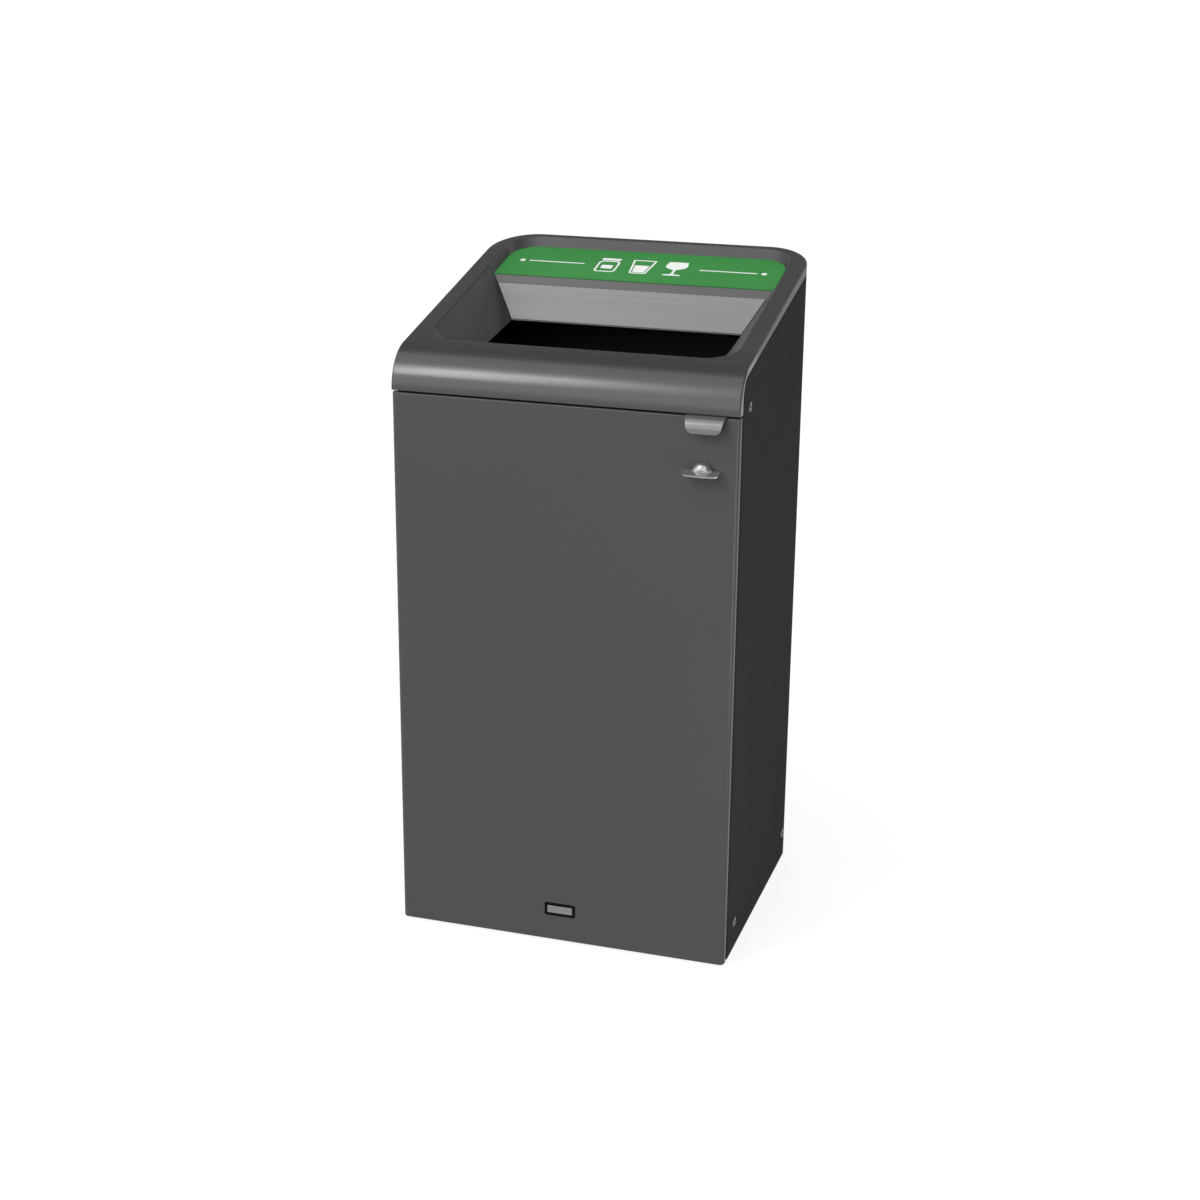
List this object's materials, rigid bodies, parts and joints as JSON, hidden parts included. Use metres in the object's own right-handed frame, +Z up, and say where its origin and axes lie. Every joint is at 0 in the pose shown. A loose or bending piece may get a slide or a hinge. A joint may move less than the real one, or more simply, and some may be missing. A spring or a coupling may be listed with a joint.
{
  "type": "recycling bin",
  "caption": "Free-standing glass recycling bin with a wrapped charcoal body, a sloping lid with an open chute and sign plate, a hinged front door with pull and thumb turn, and a liner.",
  "frame": {"origin": "on the floor, at the middle of the bin's overall width and depth, thumb turn included", "axes": "+X to the latch side, seen from the front; +Y from the door to the back; +Z up"},
  "size_m": [0.4214, 0.402, 0.8129],
  "materials": {
    "body_paint": "satin charcoal paint",
    "inner_paint": "satin charcoal paint",
    "lid_moulding": "satin charcoal, fine grain",
    "chute_metal": "satin",
    "sign_face": "green satin",
    "plated_steel": "zinc plated",
    "black_screw": "satin black",
    "bright_metal": "bright",
    "pull_metal": "satin",
    "badge_metal": "satin, blank",
    "soft_rubber": "matt",
    "liner_plastic": "matt grain"
  },
  "bodies": {
    "cabinet": {"wrap_shell": "body_paint", "base_pan": "inner_paint", "head_rail": "inner_paint", "rear_rail": "inner_paint", "lid_hood": "lid_moulding", "chute_plate": "chute_metal", "sign_plate": "sign_face", "hinge_leaf_body": "plated_steel", "hinge_rod": "plated_steel", "hinge_rivets_body": "plated_steel", "strike_plate": "plated_steel", "door_bumpers": "soft_rubber", "side_screws": "black_screw", "side_nuts": "plated_steel", "lid_screws": "plated_steel", "floor_glides": "soft_rubber", "glide_nuts": "plated_steel", "liner": "liner_plastic"},
    "door": {"door_panel": "body_paint", "door_stiffener": "inner_paint", "hinge_leaf_door": "plated_steel", "hinge_rivets_door": "plated_steel", "pull_tab": "pull_metal", "latch_barrel": "bright_metal", "latch_nut": "plated_steel", "blank_badge": "badge_metal"},
    "latch": {"thumb_turn": "bright_metal", "latch_cam": "plated_steel", "cam_screw": "plated_steel"}
  },
  "joints": [
    {"name": "door_hinge", "type": "hinge", "parent": "cabinet", "child": "door", "pos_m": [-0.2061, -0.1707, 0.34], "axis": [0, 0, -1], "range_deg": [0, 110]},
    {"name": "latch_turn", "type": "hinge", "parent": "door", "child": "latch", "pos_m": [0.1673, -0.183, 0.619], "axis": [0, -1, 0], "range_deg": [0, 90]}
  ]
}
